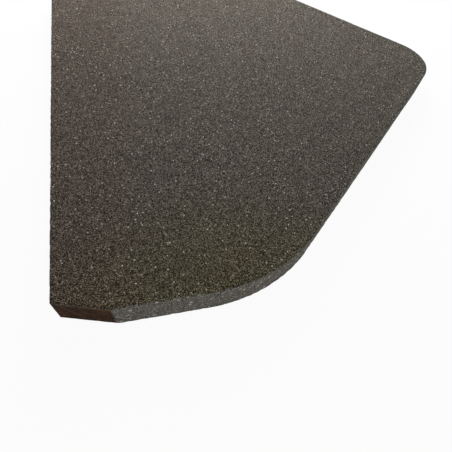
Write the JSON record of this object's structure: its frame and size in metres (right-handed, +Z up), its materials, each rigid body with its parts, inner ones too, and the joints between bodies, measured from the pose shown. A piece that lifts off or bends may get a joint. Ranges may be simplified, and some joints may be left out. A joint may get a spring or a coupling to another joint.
{
  "type": "acoustic foam mat",
  "caption": "Flat die-cut sheet of dark open-cell foam with straight, slanted and rounded edges, laid under or beside equipment to damp sound.",
  "frame": {"origin": "on the underside, at the middle of the sheet's box", "axes": "+X along the straight back edge towards the square-set right edge, +Y from the front tip to the back edge, +Z up through the thickness"},
  "size_m": [0.16, 0.176, 0.01],
  "materials": {
    "charcoal_foam": "matt open-cell polyurethane foam, fine pores with small glints"
  },
  "bodies": {
    "root": {"foam_mat": "charcoal_foam"}
  },
  "joints": []
}
